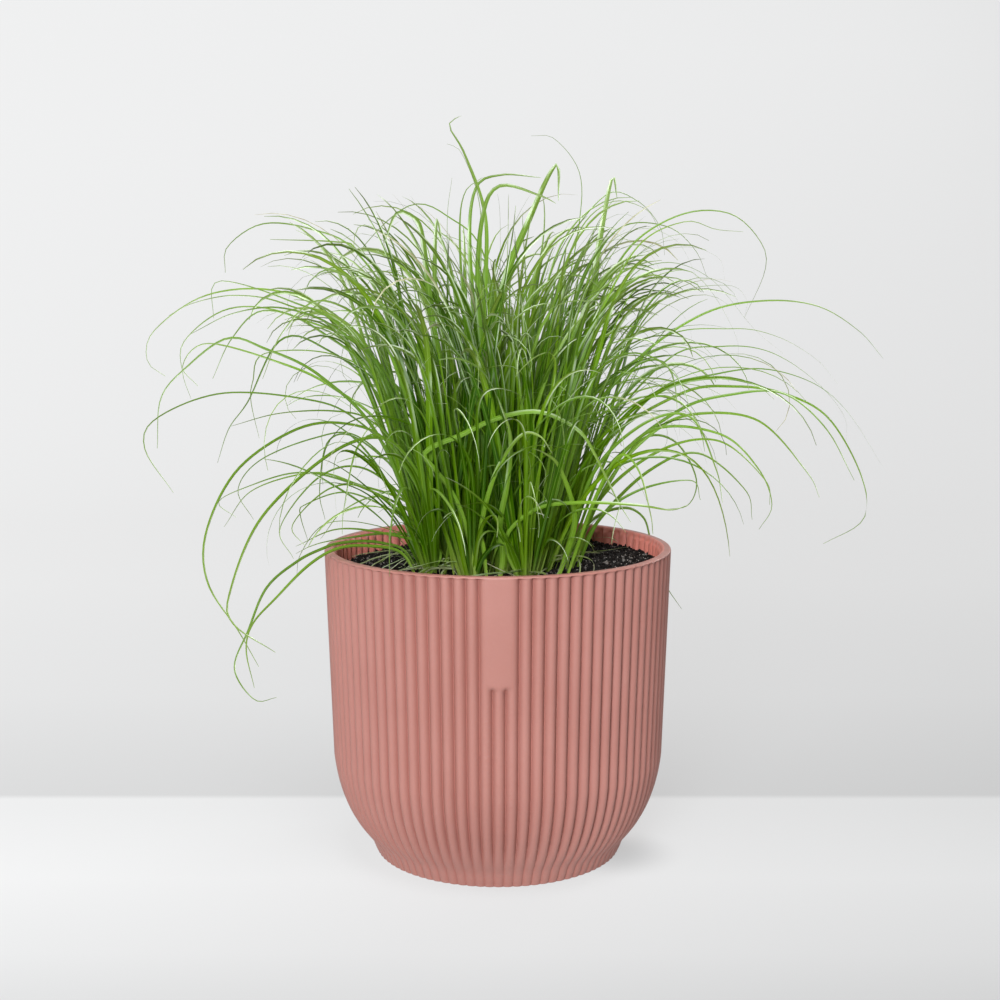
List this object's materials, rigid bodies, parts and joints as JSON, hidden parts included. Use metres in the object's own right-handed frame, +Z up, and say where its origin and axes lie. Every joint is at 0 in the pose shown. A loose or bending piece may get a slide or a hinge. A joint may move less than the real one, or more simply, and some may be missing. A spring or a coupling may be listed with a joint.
{
  "type": "potted plant",
  "caption": "Potted umbrella sedge: tufts of long, thin, arching grass-like leaves standing in soil in a round plastic pot with a fluted wall, a rounded belly and a narrow foot.",
  "frame": {"origin": "middle of the pot's flat base, on the surface that it stands on", "axes": "+Z up along the pot's axis, -Y towards the front, where the pot has its smooth panel, +X to the right as seen from the front"},
  "size_m": [0.3097, 0.2572, 0.295],
  "materials": {
    "pot": "satin matte, dusty pink",
    "soil": "coarse, dark, slightly moist potting soil",
    "leaves": "fresh green leaf with a soft sheen"
  },
  "bodies": {
    "root": {"pot": "pot", "soil": "soil", "tuft_01": "leaves", "tuft_02": "leaves", "tuft_03": "leaves", "tuft_04": "leaves", "tuft_05": "leaves", "tuft_06": "leaves", "tuft_07": "leaves", "tuft_08": "leaves", "tuft_09": "leaves", "tuft_10": "leaves", "tuft_11": "leaves", "tuft_12": "leaves", "tuft_13": "leaves"}
  },
  "joints": []
}
